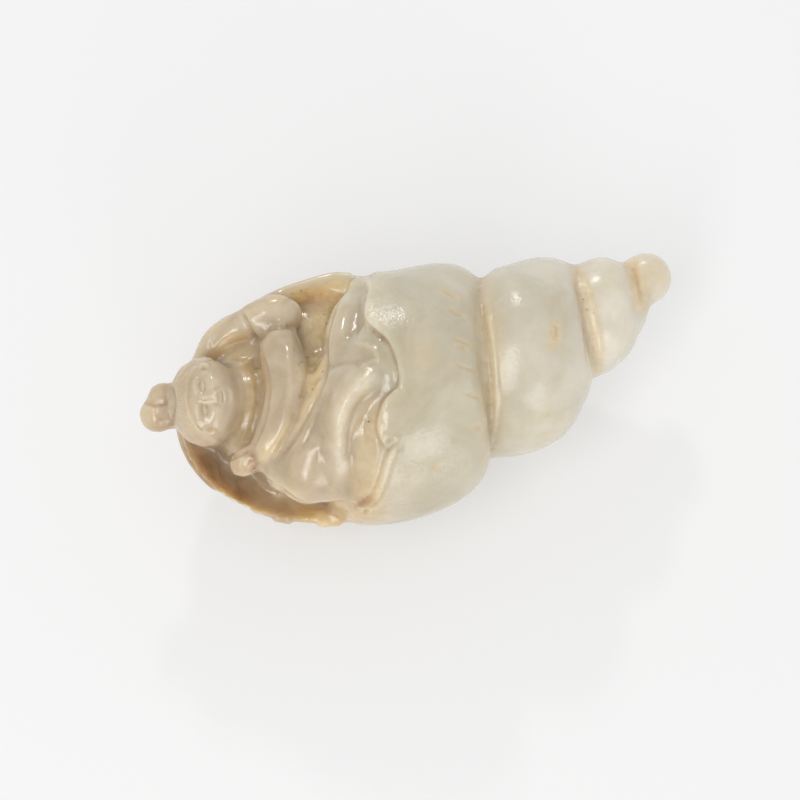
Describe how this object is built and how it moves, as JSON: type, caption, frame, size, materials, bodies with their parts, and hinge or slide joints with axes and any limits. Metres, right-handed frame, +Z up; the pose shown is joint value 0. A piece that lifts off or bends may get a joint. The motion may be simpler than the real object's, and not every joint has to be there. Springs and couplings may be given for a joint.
{
  "type": "carved pendant",
  "caption": "Pale jade pendant carved as a spired snail shell lying down, with a small reclining figure whose hair is tied in knots leaning out of its open mouth.",
  "frame": {"origin": "middle of the bounding box in plan, at the height of the small flat that the shell lies on", "axes": "+X along the shell towards the tip of its spire, -X towards the figure's head, +Z up, out of the shell's open mouth"},
  "size_m": [0.0608, 0.0288, 0.0266],
  "materials": {
    "nephrite_jade": "polished"
  },
  "bodies": {
    "root": {"jade_carving": "nephrite_jade"}
  },
  "joints": []
}
